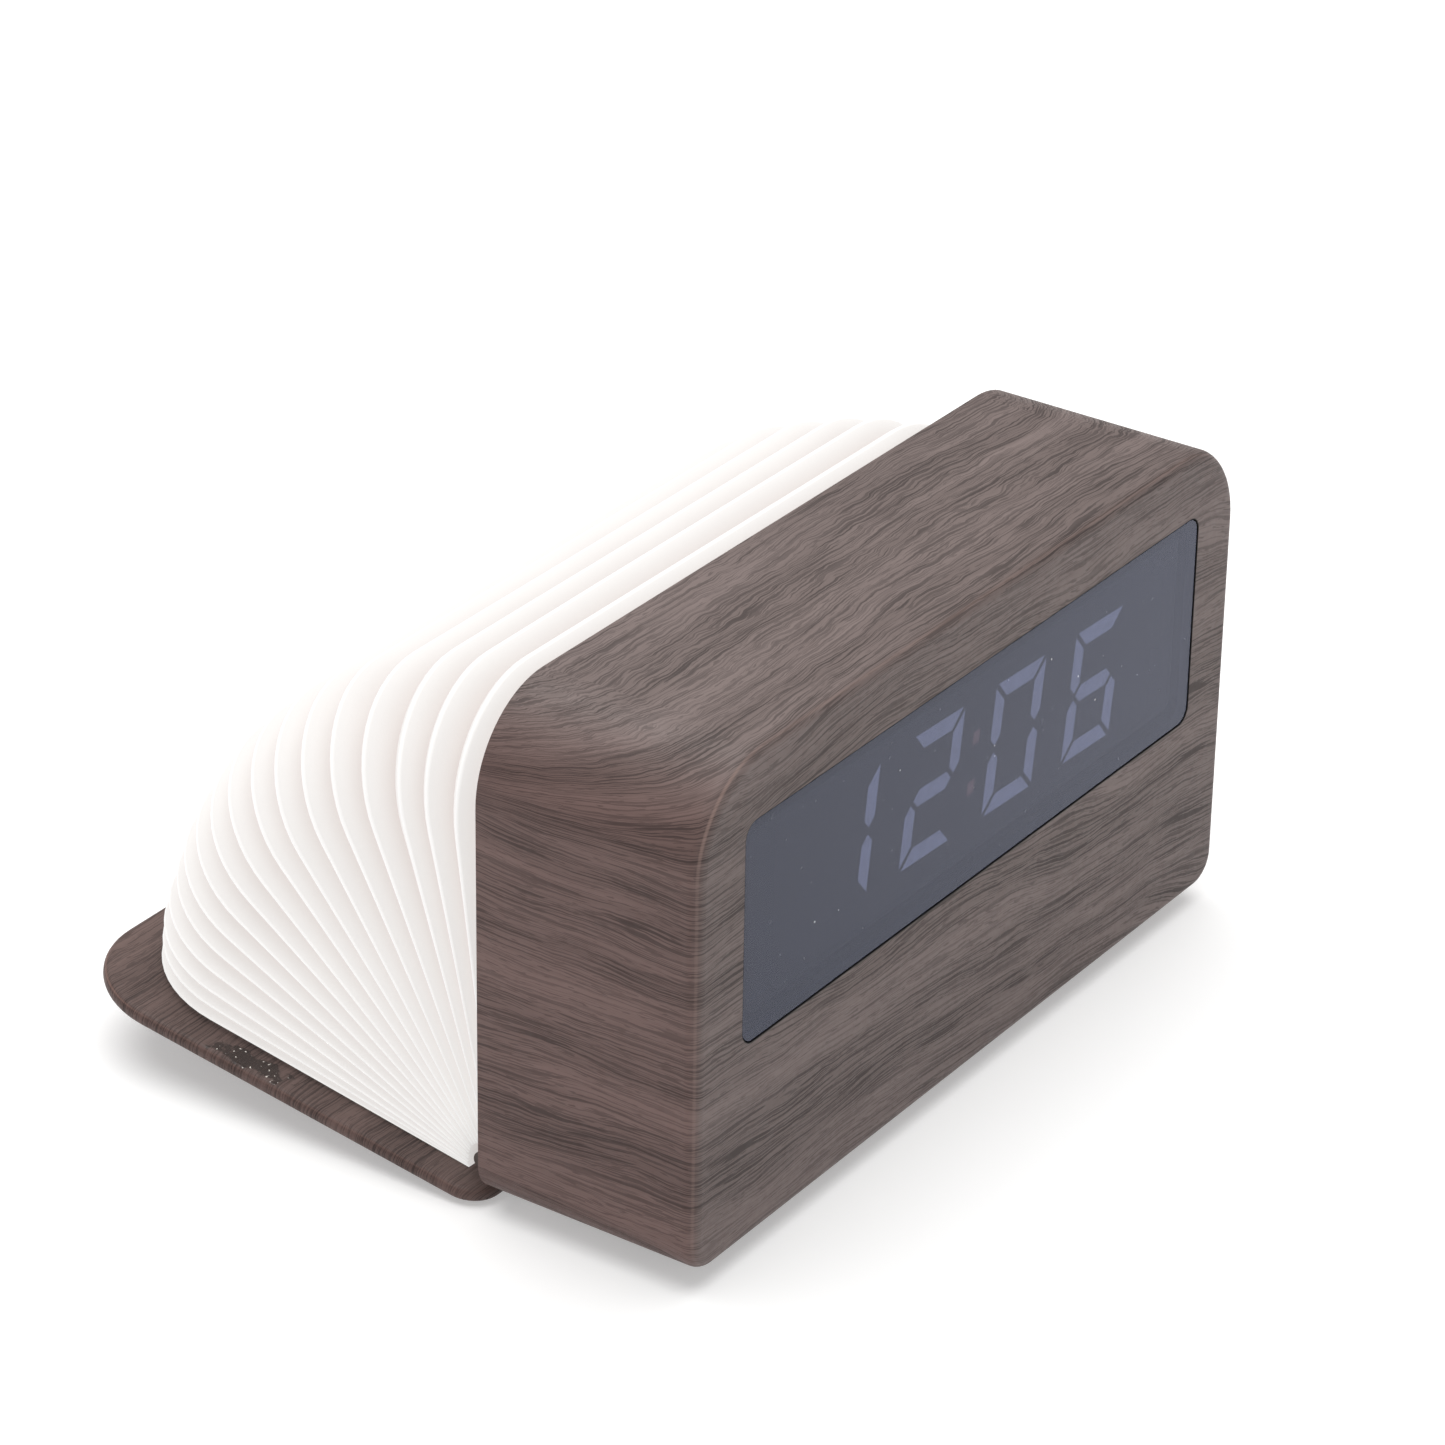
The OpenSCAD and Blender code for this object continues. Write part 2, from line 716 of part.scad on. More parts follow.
// Opal tray, open towards the lamp board, with a flange glued inside the panel
module lamp_diffuser() {
    tray_w = lamp_w - 0.4;
    tray_h = lamp_h - 0.4;
    color("#f6f3ec") translate([0, 0, lamp_z]) difference() {
        union() {
            slab(panel_y - diffuser_t, panel_y)
                round_rect(lamp_w + diffuser_flange, lamp_h + diffuser_flange, 6);
            slab(panel_y - merge, back_y + diffuser_proud) round_rect(tray_w, tray_h, 4.8);
        }
        slab(panel_y - diffuser_t - 1, back_y + diffuser_proud - diffuser_t)
            round_rect(tray_w - 2 * diffuser_t, tray_h - 2 * diffuser_t, 3.3);
    }
}

module lamp_board_screws() {
    color("silver") for (x = [-1, 1], z = [-1, 1])
        translate([x * lamp_post_x, lamp_board_y + 6, lamp_z + z * lamp_post_z])
            rotate([90, 0, 0]) screw(6, 1, 1.9, 1.3);
}

// Two leads from the main board's plug up to the lower edge of the lamp board
module lamp_leads() {
    r = 0.5;
    z0 = top_of_board + plug_h;
    color("#d8d4cc") for (x = [plug_x + 2, plug_x + 4])
        translate([x, lamp_board_y + board_t + r, z0]) cylinder(h = lamp_z - lamp_post_z - 1 - z0, r = r);
}

module lid_sensor() {
    color("#1b1c20") translate([0, 0, sensor_z])
        slab(panel_y + sensor_pocket - sensor_t, panel_y + sensor_pocket)
            square(sensor_size, center = true);
}

module body_magnets() {
    color("#b4b8bf") for (x = [-1, 1]) y_rod(x * magnet_x, magnet_z, back_y - magnet_t, back_y, magnet_r);
}

// ---------------------------------------------------------------- back cover

// Turns a cover piece, drawn shut against the clock, about the hinge pin to where it stands
module on_cover() {
    translate([0, pin_y, pin_z]) rotate([-open_angle, 0, 0]) translate([0, -pin_y, -pin_z]) children();
}

module hinge_pin() {
    color("silver") x_rod(pin_y, pin_z, barrel_end + 0.2 - hinge_half, hinge_half - 0.2, pin_r);
}

module back_cover() {
    r = cover_t / 2 - 0.1;
    color("#5f514c") on_cover() difference() {
        union() {
            book_solid(cover_inner_y, cover_inner_y + cover_t, r, r);
            for (i = [1:2:knuckle_count - 2]) {
                knuckle(i);
                translate([knuckle_x(i) + gap, pin_y, pin_z - knuckle_r])
                    cube([knuckle_pitch - 2 * gap, cover_inner_y - pin_y + merge, 2 * knuckle_r]);
            }
        }
        pin_bore();
        for (x = [-1, 1]) y_rod(x * magnet_x, magnet_z, cover_inner_y - 1,
                                cover_inner_y + magnet_t + 0.1, magnet_r + 0.05);
        y_rod(0, sensor_z, cover_inner_y - 1, cover_inner_y + magnet_t + 0.1, trigger_r + 0.05);
    }
}

module cover_magnets() {
    color("#b4b8bf") on_cover() {
        for (x = [-1, 1])
            y_rod(x * magnet_x, magnet_z, cover_inner_y, cover_inner_y + magnet_t, magnet_r);
        y_rod(0, sensor_z, cover_inner_y, cover_inner_y + magnet_t, trigger_r);
    }
}

// ---------------------------------------------------------------- paper

// The sheet is drawn thicker than real paper, so that its solid has a true inside
paper_t = 1.6;
arc_steps = 8;
paper_start = 3.4;
paper_reach = body_h - paper_inset - pin_up;

// Outline of one fold as [x, distance from the hinge pin], up the left leg and down the right
function fold_outline(inset) = let (
    w = side_x - paper_inset - inset,
    h = paper_reach - inset,
    r = paper_r - inset / 2,
    left = [for (i = [0:arc_steps]) let (a = 90 * i / arc_steps) [-w + r - r * cos(a), h - r + r * sin(a)]]
) concat([[-w, paper_start]], left, [for (i = [len(left) - 1:-1:0]) [-left[i][0], left[i][1]]],
         [[w, paper_start]]);

// Places an outline point on fold j of the fan, counted in half pleats from the body
function fold_place(p, j) = let (
    part = j / (2 * pleats),
    a = open_angle * part + fan_lean * sin(180 * pow(part, 1.6)),
    off = -pin_back + gap + (fold_gap - 2 * gap) * part
) [p[0], pin_y + off * cos(a) + p[1] * sin(a), pin_z - off * sin(a) + p[1] * cos(a)];

module paper_bellows() {
    folds = 2 * pleats;
    n = 2 * arc_steps + 4;
    rows = [for (j = [0:folds]) let (deep = j % 2 == 0 ? pleat_depth : 0)
        concat([for (p = fold_outline(deep)) fold_place(p, j)],
               [for (p = fold_outline(deep + paper_t)) fold_place(p, j)])];
    points = [for (row = rows) each row];
    // k steps round the closed band: outer skin left to right, then inner skin back
    ring = concat([for (k = [0:n - 1]) k], [for (k = [n - 1:-1:0]) n + k]);
    m = 2 * n;
    sides = [for (j = [0:folds - 1], k = [0:m - 1]) let (
        a = j * m + ring[k], b = j * m + ring[(k + 1) % m], c = b + m, d = a + m)
        // both skins are split along the same diagonal, so that they stay parallel
        each k < n ? [[a, b, c], [a, c, d]] : [[a, b, d], [b, c, d]]];
    near = [for (k = [0:n - 2]) each [[k + 1, k, n + k], [k + 1, n + k, n + k + 1]]];
    far = [for (f = near) [f[0] + folds * m, f[2] + folds * m, f[1] + folds * m]];
    color("#fbf8f4") polyhedron(points, concat(sides, near, far));
}

housing_shell();
rear_panel();
display_window();
window_adhesive();
display_mask();
segments_lit();
segments_unlit();
colon_dots();
display_board();
display_leds();
display_driver();
display_screws();
main_board();
processor();
crystal();
buzzer();
cell_holder();
coin_cell();
usb_socket();
board_connectors();
main_board_screws();
button_board();
tact_switches();
button_board_screws();
set_button();
up_button();
down_button();
lamp_button();
battery_cell();
battery_cradle();
battery_contacts();
battery_lead_red();
battery_lead_black();
lamp_leads();
display_ribbon();
button_ribbon();
lamp_board();
lamp_leds();
lamp_diffuser();
lamp_board_screws();
lid_sensor();
body_magnets();
panel_screws();
hinge_pin();
rubber_base();
back_cover();
cover_magnets();
paper_bellows();
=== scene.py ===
"""Looks for a wood-film alarm clock whose back opens like a book into a pleated paper lamp."""
import json
import math
import random

import bpy
from mathutils import Matrix, Vector
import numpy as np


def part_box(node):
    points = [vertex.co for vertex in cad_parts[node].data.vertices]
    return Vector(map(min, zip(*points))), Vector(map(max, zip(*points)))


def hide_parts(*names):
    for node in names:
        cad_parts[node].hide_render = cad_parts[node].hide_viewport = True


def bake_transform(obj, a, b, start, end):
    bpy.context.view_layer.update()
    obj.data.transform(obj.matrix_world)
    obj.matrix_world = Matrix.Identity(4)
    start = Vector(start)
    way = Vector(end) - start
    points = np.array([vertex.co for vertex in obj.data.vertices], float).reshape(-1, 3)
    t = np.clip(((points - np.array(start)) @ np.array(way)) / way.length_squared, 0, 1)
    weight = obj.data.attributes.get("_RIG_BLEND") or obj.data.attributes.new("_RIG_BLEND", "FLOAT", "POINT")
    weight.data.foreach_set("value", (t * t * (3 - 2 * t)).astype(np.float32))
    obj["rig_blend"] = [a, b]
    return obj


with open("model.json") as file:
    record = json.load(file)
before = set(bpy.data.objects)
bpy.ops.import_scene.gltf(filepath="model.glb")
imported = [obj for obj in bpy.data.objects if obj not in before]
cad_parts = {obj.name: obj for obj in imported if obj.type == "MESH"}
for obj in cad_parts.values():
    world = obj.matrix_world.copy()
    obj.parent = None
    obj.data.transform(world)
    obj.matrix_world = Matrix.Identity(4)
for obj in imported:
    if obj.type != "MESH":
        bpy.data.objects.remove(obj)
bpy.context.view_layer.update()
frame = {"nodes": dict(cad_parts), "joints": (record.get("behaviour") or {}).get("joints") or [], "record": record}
MM = 0.001

# ------------------------------------------------------------------ places read from the frame
HINGE = next(j for j in frame["joints"] if j["name"] == "cover_hinge")
PIN = Vector(HINGE["pos_m"])
SHELL_LOW, SHELL_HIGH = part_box("housing_shell")
BACK_Y = SHELL_HIGH.y
WINDOW_LOW, WINDOW_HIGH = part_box("display_window")
# Repeated from the CAD: how far the cover stands open at rest, and the window's corner radius
OPEN_ANGLE = math.radians(82)
WINDOW_R = 3.0 * MM

# ------------------------------------------------------------------ camera and light
VIEW_AZIMUTH = math.radians(-55.57)
VIEW_ELEVATION = math.radians(28.04)
VIEW_ROLL = math.radians(0.92)
VIEW_DISTANCE = 1.0629
VIEW_TARGET = Vector((0.0084, 0.0396, 0.0539))
LENS_MM = 138.44
SENSOR_MM = 36
SKY_STRENGTH = 0.42
KEY_PLACE = Vector((0.2, 0.3, 3.2))
KEY_AIM = Vector((0, 0, 0.05))
KEY_SIZE = 4.4
KEY_WATTS = 128.0
KEY_COLOUR = (1.0, 0.995, 0.985)


def make_camera():
    data = bpy.data.cameras.new("Camera")
    data.lens = LENS_MM
    data.sensor_width = SENSOR_MM
    data.clip_start = 0.05
    camera = bpy.data.objects.new("Camera", data)
    bpy.context.scene.collection.objects.link(camera)
    level = math.cos(VIEW_ELEVATION)
    outward = Vector(
        (level * math.sin(VIEW_AZIMUTH), -level * math.cos(VIEW_AZIMUTH), math.sin(VIEW_ELEVATION)))
    facing = (-outward).to_track_quat("-Z", "Y").to_matrix().to_4x4()
    turn = facing @ Matrix.Rotation(VIEW_ROLL, 4, "Z")
    camera.matrix_world = Matrix.Translation(VIEW_TARGET + outward * VIEW_DISTANCE) @ turn
    bpy.context.scene.camera = camera


def make_key_light():
    data = bpy.data.lights.new("Key", "AREA")
    data.shape = "DISK"
    data.size = KEY_SIZE
    data.energy = KEY_WATTS
    data.color = KEY_COLOUR
    lamp = bpy.data.objects.new("Key", data)
    bpy.context.scene.collection.objects.link(lamp)
    lamp.location = KEY_PLACE
    lamp.rotation_euler = (KEY_AIM - KEY_PLACE).to_track_quat("-Z", "Y").to_euler()


def make_sky():
    world = bpy.data.worlds.new("Studio")
    bpy.context.scene.world = world
    world.use_nodes = True
    background = world.node_tree.nodes["Background"]
    background.inputs["Color"].default_value = (1, 1, 1, 1)
    background.inputs["Strength"].default_value = SKY_STRENGTH


# ------------------------------------------------------------------ material building blocks
class Look:
    """A material with one Principled shader, and short ways to add the nodes that drive it."""

    def __init__(self, name, roughness=0.5, metallic=0.0):
        self.material = bpy.data.materials.new(name)
        self.material.use_nodes = True
        self.tree = self.material.node_tree
        self.shader = self.tree.nodes["Principled BSDF"]
        self.set("Roughness", roughness)
        self.set("Metallic", metallic)
        coordinates = self.node("ShaderNodeTexCoord")
        self.place = coordinates.outputs["Object"]
        self.normal = coordinates.outputs["Normal"]

    def node(self, kind, **settings):
        made = self.tree.nodes.new(kind)
        for key, value in settings.items():
            setattr(made, key, value)
        return made

    def feed(self, socket, value):
        """Link the socket to another node's output, or give it a value."""
        if isinstance(value, bpy.types.NodeSocket):
            self.tree.links.new(value, socket)
        elif hasattr(value, "__len__") and socket.type == "RGBA" and len(value) == 3:
            socket.default_value = (*value, 1)
        else:
            socket.default_value = value

    def set(self, name, value):
        self.feed(self.shader.inputs[name], value)

    def math(self, operation, *values):
        made = self.node("ShaderNodeMath", operation=operation)
        for socket, value in zip(made.inputs, values):
            self.feed(socket, value)
        return made.outputs[0]

    def vector(self, operation, *values):
        made = self.node("ShaderNodeVectorMath", operation=operation)
        for socket, value in zip(made.inputs, values):
            self.feed(socket, value)
        return made.outputs["Value" if operation == "DOT_PRODUCT" else "Vector"]

    def hypotenuse(self, a, b):
        return self.math("SQRT", self.math("MULTIPLY_ADD", a, a, self.math("MULTIPLY", b, b)))

    def apart(self, a, b):
        return self.math("ABSOLUTE", self.math("SUBTRACT", a, b))

    def split(self, vector):
        made = self.node("ShaderNodeSeparateXYZ")
        self.feed(made.inputs[0], vector)
        return made.outputs

    def join(self, x, y, z):
        made = self.node("ShaderNodeCombineXYZ")
        for socket, value in zip(made.inputs, (x, y, z)):
            self.feed(socket, value)
        return made.outputs[0]

    def mix(self, share, a, b, blend="MIX"):
        made = self.node("ShaderNodeMix", data_type="RGBA", blend_type=blend)
        self.feed(made.inputs["Factor"], share)
        self.feed(made.inputs[6], a)
        self.feed(made.inputs[7], b)
        return made.outputs[2]

    def noise(self, vector, scale, detail, roughness=0.5, distortion=0.0):
        made = self.node("ShaderNodeTexNoise")
        given = {"Vector": vector, "Scale": scale, "Detail": detail, "Roughness": roughness,
                 "Distortion": distortion}
        for key, value in given.items():
            self.feed(made.inputs[key], value)
        return made.outputs["Fac"]

    def grain(self, along, across, along_scale, across_scale, layer, detail):
        """Noise drawn out along the grain of wood, a layer of its own for each kind of figure."""
        stretched = self.join(
            self.math("MULTIPLY", along, along_scale), self.math("MULTIPLY", across, across_scale), layer)
        return self.noise(stretched, 1.0, detail)

    def turned(self, vector, angle, centre):
        """The vector turned by angle about the line through centre along X."""
        made = self.node("ShaderNodeVectorRotate", rotation_type="X_AXIS")
        for key, value in (("Vector", vector), ("Center", centre), ("Angle", angle)):
            self.feed(made.inputs[key], value)
        return made.outputs[0]

    def spread(self, value, low, high, to_low=0.0, to_high=1.0):
        made = self.node("ShaderNodeMapRange", clamp=True)
        for socket, given in zip(made.inputs, (value, low, high, to_low, to_high)):
            self.feed(socket, given)
        return made.outputs[0]

    def bump(self, height, distance, strength):
        made = self.node("ShaderNodeBump")
        self.feed(made.inputs["Height"], height)
        self.feed(made.inputs["Distance"], distance)
        self.feed(made.inputs["Strength"], strength)
        self.set("Normal", made.outputs[0])

    def edges(self, radius):
        """1 along sharp edges and 0 elsewhere, from how far a rounded normal turns from the true one."""
        rounded = self.node("ShaderNodeBevel", samples=4)
        self.feed(rounded.inputs["Radius"], radius)
        true = self.node("ShaderNodeNewGeometry").outputs["Normal"]
        return self.spread(self.vector("DOT_PRODUCT", rounded.outputs[0], true), 0.97, 0.75)


def dress(piece, material):
    piece.data.materials.clear()
    piece.data.materials.append(material)


def srgb(r, g, b):
    """Linear colour from an 8-bit screen colour."""
    def one(c):
        c /= 255
        return c / 12.92 if c <= 0.04045 else ((c + 0.055) / 1.055) ** 2.4
    return one(r), one(g), one(b)


def scaled(colour, factor):
    return tuple(min(1.0, c * factor) for c in colour)


# ------------------------------------------------------------------ wood-grain film
FILM_LIGHT = srgb(124, 110, 107)
FILM_DARK = srgb(107, 94, 91)
FILM_STREAK = srgb(48, 40, 39)
# Pale line round the front's left corner: wear of the stretched film, and a painted highlight
FILM_WORN_AND_LIT = srgb(178, 150, 140)
# What the film's colour is multiplied by: on the two ends, on the body, and on the cover
END_RED = (0.97, 0.795, 0.77)
BODY_SHADE = (0.86, 0.845, 0.84)
# Painted shade: the cover's copy of the film is painted darker than the body's; it is also browner
COVER_PAINTED_SHADE = (0.66, 0.56, 0.53)
# Painted light: how much paler the top face is painted, as it faces the light
TOP_PAINTED_LIGHT = 1.25
# The window's opening: its bare moulding, and the width of the dark line round it, beyond the window's edge
BARE_MOULDING = (0.004, 0.004, 0.004)
RIM_IN, RIM_OUT = 0.38 * MM, 0.50 * MM
BARE_IN, BARE_OUT = 0.6 * MM, 0.9 * MM
# A dried smear of glue on the open cover's left margin, with painted glints on it
GLUE = srgb(38, 27, 23)
GLUE_PAINTED_GLINT = (0.75, 0.7, 0.65)
GLUE_PLACE = (SHELL_LOW.x + 3.2 * MM, PIN.z + 52 * MM)
GLUE_HALF = (2.2 * MM, 9.5 * MM)


def film_grain(look, along, across):
    """The printed wood at a point of the flat film: its figure, its dark bands and its fine lines."""
    # the grain sinks towards the right below the window, drifts slowly, and ripples
    right = look.math("ADD", along, look.math("SQRT", look.math("MULTIPLY_ADD", along, along, 0.0016)))
    sink = look.math("MULTIPLY", right, look.spread(across, 0.10, 0.04, 0.01, 0.065))
    drift = look.grain(along, across, 11.0, 30.0, 0.3, 2.0)
    ripple = look.grain(along, across, 150.0, 190.0, 5.2, 2.0)
    across = look.math("ADD", across, sink)
    across = look.math("MULTIPLY_ADD", look.math("SUBTRACT", drift, 0.5), 0.016, across)
    ripple_height = look.spread(across, 0.10, 0.12, 0.0008, 0.0024)
    across = look.math("MULTIPLY_ADD", look.math("SUBTRACT", ripple, 0.5), ripple_height, across)

    # broad bands, figure within them, then dark streaks, hairlines and short pores
    bands = look.grain(along, across, 7.0, 120.0, 4.1, 2.0)
    figure = look.grain(along, across, 26.0, 800.0, 1.7, 2.0)
    streaks = look.grain(along, across, 45.0, 1900.0, 7.9, 1.0)
    hairs = look.grain(along, across, 50.0, 3400.0, 2.2, 1.0)
    pores = look.grain(along, across, 260.0, 2600.0, 9.4, 1.0)
    tone = look.math("ADD", look.math("MULTIPLY", figure, 0.35), look.math("MULTIPLY", bands, 0.70))
    dark = look.spread(tone, 0.66, 0.44)
    busy = look.math("MULTIPLY_ADD", dark, 0.55, 0.45)
    streak = look.math("MULTIPLY", look.spread(streaks, 0.56, 0.585), busy)
    hair = look.math("MULTIPLY", look.spread(hairs, 0.55, 0.585), look.math("MULTIPLY", busy, 0.7))
    pore = look.math("MULTIPLY", look.spread(pores, 0.60, 0.66), 0.6)
    return figure, dark, look.math("MAXIMUM", look.math("MAXIMUM", streak, hair), pore)


def worn_and_lit_corner(look, normal):
    """How pale the film is round the front's left corner: wear where it is stretched, and a painted highlight
    where the corner faces up and to the left.
    """
    nx, ny, nz = look.split(normal)
    slant = look.math("MULTIPLY", ny, ny)
    bent = look.math("MULTIPLY", slant, look.math("SUBTRACT", 1.0, slant))
    leftward = look.spread(nx, 0.1, -0.4, 0.3, 1.0)
    upward = look.spread(nz, -0.1, 0.3, 0.1, 1.0)
    # wear, and a painted highlight, along the bent part of the corner
    worn_and_lit = look.spread(bent, 0.225, 0.25, 0.0, 0.35)
    return look.math("MULTIPLY", worn_and_lit, look.math("MULTIPLY", leftward, upward))


def window_opening(look, depth):
    """1 inside the window's opening and, nearly, on a fine line round it; 0 elsewhere."""
    x, _, z = look.split(look.place)
    middle, half = (WINDOW_LOW + WINDOW_HIGH) / 2, (WINDOW_HIGH - WINDOW_LOW) / 2
    beside, above = (
        look.math("MAXIMUM", look.math("SUBTRACT", look.apart(value, centre), reach - WINDOW_R), 0.0)
        for value, centre, reach in ((x, middle.x, half.x), (z, middle.z, half.z))
    )
    outside = look.math("SUBTRACT", look.hypotenuse(beside, above), WINDOW_R)
    below_face = look.spread(depth, 0.00005, 0.0002)
    bare = look.math("MULTIPLY", look.spread(outside, BARE_OUT, BARE_IN), below_face)
    rim = look.math("MULTIPLY", look.spread(outside, RIM_OUT, RIM_IN), 0.9)
    return look.math("MAXIMUM", bare, rim)


def glue_smear(look, place, depth):
    """1 on the ragged smear of glue on the cover's face, and 0 elsewhere."""
    x, _, z = look.split(place)
    away = (
        look.math("DIVIDE", look.math("SUBTRACT", value, centre), half)
        for value, centre, half in zip((x, z), GLUE_PLACE, GLUE_HALF)
    )
    ragged = look.math("MULTIPLY_ADD", look.noise(place, 500.0, 3.0), 2.4, look.hypotenuse(*away))
    return look.math("MULTIPLY", look.spread(ragged, 2.25, 2.0), look.spread(depth, 0.0006, 0.0002))


def wood_film(name, front_y, turned=0.0, redden=1.0, shade=BODY_SHADE, glued=False):
    """Printed film pulled over a book-shaped solid. The grain runs along X on the face at front_y, and each
    point behind that face takes the grain of the flat film beyond its outline, as the film was stretched.
    A solid that stands turned about the hinge is first turned back."""
    look = Look(name)
    place, normal = look.place, look.normal
    if turned:
        place = look.turned(place, turned, PIN)
        normal = look.turned(normal, turned, (0, 0, 0))
    x, y, z = look.split(place)
    nx, _, nz = look.split(normal)
    depth = look.apart(y, front_y)
    figure, dark, lines = film_grain(
        look, look.math("MULTIPLY_ADD", nx, depth, x), look.math("MULTIPLY_ADD", nz, depth, z))

    colour = look.mix(dark, FILM_LIGHT, FILM_DARK)
    colour = look.mix(look.math("MULTIPLY", lines, 0.72), colour, FILM_STREAK)
    end_share = look.math("MULTIPLY", look.spread(look.math("ABSOLUTE", nx), 0.3, 0.95), redden)
    colour = look.mix(end_share, colour, END_RED, "MULTIPLY")
    # the pale line round the corner: wear, and a painted highlight
    colour = look.mix(worn_and_lit_corner(look, normal), colour, FILM_WORN_AND_LIT)
    colour = look.mix(window_opening(look, depth), colour, BARE_MOULDING)
    # painted light: the top face, which faces the light, is painted a little paler
    colour = look.mix(look.spread(nz, 0.3, 0.9), look.mix(1.0, colour, shade, "MULTIPLY"),
                      look.mix(1.0, colour, scaled(shade, TOP_PAINTED_LIGHT), "MULTIPLY"))
    satin = look.math("MULTIPLY_ADD", lines, 0.3, look.noise(place, 900.0, 2.0))
    rough = look.spread(satin, 0.3, 0.9, 0.45, 0.65)
    if glued:
        glue = glue_smear(look, place, depth)
        colour = look.mix(look.math("MULTIPLY", glue, 0.85), colour, GLUE)
        # painted glints: pale specks in the glue's colour stand in for highlights
        painted_glint = look.math("MULTIPLY", glue, look.spread(look.noise(place, 1500.0, 0.0), 0.72, 0.78))
        colour = look.mix(painted_glint, colour, GLUE_PAINTED_GLINT)
        rough = look.math("MULTIPLY_ADD", glue, -0.35, rough)
    look.set("Base Color", colour)
    look.set("Roughness", rough)
    look.set("Specular IOR Level", 0.3)
    relief = look.math("SUBTRACT", look.math("MULTIPLY", figure, 0.3), look.math("MULTIPLY", lines, 0.7))
    look.bump(relief, 0.00006, 0.5)
    return look.material


# ------------------------------------------------------------------ other materials
def moulded(name, colour, roughness=0.55, grain=1600.0, wear=0.25, depth=0.00003):
    """Moulded plastic or rubber: faint mottling, a fine spark-eroded grain, and paler rubbed edges."""
    look = Look(name)
    place = look.place
    mottle = look.noise(place, 70.0, 4.0)
    fine = look.noise(place, grain, 2.0, 0.6)
    tone = look.mix(look.spread(mottle, 0.3, 0.7), scaled(colour, 0.86), scaled(colour, 1.12))
    tone = look.mix(look.math("MULTIPLY", look.edges(0.0004), wear), tone, scaled(colour, 1.8))
    look.set("Base Color", tone)
    uneven = look.math("ADD", fine, mottle)
    look.set("Roughness", look.spread(uneven, 0.6, 1.4, roughness - 0.08, roughness + 0.1))
    look.bump(fine, depth, 0.5)
    return look.material


def metal(name, colour, roughness=0.32):
    """Plated or ground metal: fine scratches, slight stains, brighter edges."""
    look = Look(name, metallic=1.0)
    place = look.place
    scratches = look.noise(place, 1400.0, 3.0, 0.7)
    stain = look.noise(place, 160.0, 3.0)
    tone = look.mix(look.spread(stain, 0.35, 0.7), scaled(colour, 0.82), colour)
    tone = look.mix(look.math("MULTIPLY", look.edges(0.0002), 0.3), tone, scaled(colour, 1.4))
    look.set("Base Color", tone)
    uneven = look.math("ADD", scratches, stain)
    look.set("Roughness", look.spread(uneven, 0.6, 1.4, roughness - 0.1, roughness + 0.14))
    look.bump(scratches, 0.00001, 0.4)
    return look.material


def circuit_board(name, colour):
    """Solder mask with faint copper tracks, a woven core and pale dots of solder."""
    look = Look(name, roughness=0.35)
    place = look.place
    tracks = look.node("ShaderNodeTexBrick", offset=0.37, squash=0.6)
    given = {"Vector": place, "Scale": 320.0, "Mortar Size": 0.03,
             "Color1": (0, 0, 0), "Color2": (0, 0, 0), "Mortar": (1, 1, 1)}
    for key, value in given.items():
        look.feed(tracks.inputs[key], value)
    weave = look.noise(place, 2400.0, 1.0)
    patches = look.spread(look.noise(place, 120.0, 1.0), 0.45, 0.55)
    track = look.math("MULTIPLY", tracks.outputs["Fac"], patches)
    tone = look.mix(look.spread(weave, 0.3, 0.7), scaled(colour, 0.8), scaled(colour, 1.1))
    tone = look.mix(look.math("MULTIPLY", track, 0.6), tone, scaled(colour, 2.2))
    look.set("Base Color", look.mix(look.edges(0.0002), tone, srgb(188, 172, 120)))
    look.set("Roughness", look.spread(weave, 0.3, 0.7, 0.28, 0.45))
    look.bump(look.math("ADD", track, weave), 0.00003, 0.5)
    return look.material


def glowing(name, colour, glow, strength):
    """Diffusing resin lit from behind, a little uneven from its lamp."""
    look = Look(name)
    place = look.place
    cloud = look.noise(place, 420.0, 3.0)
    look.set("Base Color", look.mix(look.spread(cloud, 0.3, 0.7), scaled(colour, 0.9), scaled(colour, 1.1)))
    look.set("Roughness", look.spread(cloud, 0.3, 0.7, 0.35, 0.5))
    look.set("Emission Color", look.mix(look.spread(cloud, 0.35, 0.65), scaled(glow, 0.85), glow))
    look.set("Emission Strength", strength)
    look.bump(look.noise(place, 1800.0, 2.0), 0.00002, 0.4)
    return look.material


def smoked_window(name, colour, alpha):
    """Smoked acrylic, clear enough to show the lit digits, with a few specks of dust and wiping marks, a painted
    reflection that lightens it towards the right, and painted highlights along its edges.
    """
    look = Look(name)
    place = look.place
    dust = look.spread(look.noise(place, 900.0, 0.0), 0.86, 0.875)
    haze = look.noise(look.vector("MULTIPLY", place, (0.3, 1.0, 1.4)), 60.0, 3.0)
    # painted reflection: the window is painted lighter towards the right
    painted_reflection_ramp = look.spread(look.split(place)[0], WINDOW_LOW.x, WINDOW_HIGH.x)
    tone = look.mix(painted_reflection_ramp, scaled(colour, 0.72), scaled(colour, 0.98))
    tone = look.mix(look.spread(haze, 0.35, 0.7, 0.0, 0.12), tone, scaled(colour, 1.3))
    # painted highlight: paler along the window's edges
    tone = look.mix(look.edges(0.0003), tone, scaled(colour, 1.5))
    look.set("Base Color", look.mix(dust, tone, (0.6, 0.6, 0.6)))
    look.set("Alpha", alpha)
    look.set("Roughness", look.spread(haze, 0.3, 0.7, 0.18, 0.26))
    look.set("Specular IOR Level", 0.2)
    look.bump(haze, 0.000002, 0.2)
    return look.material


# How brightly the paper shines by itself, in place of the light that passes through it
PAPER_GLOW = 0.56


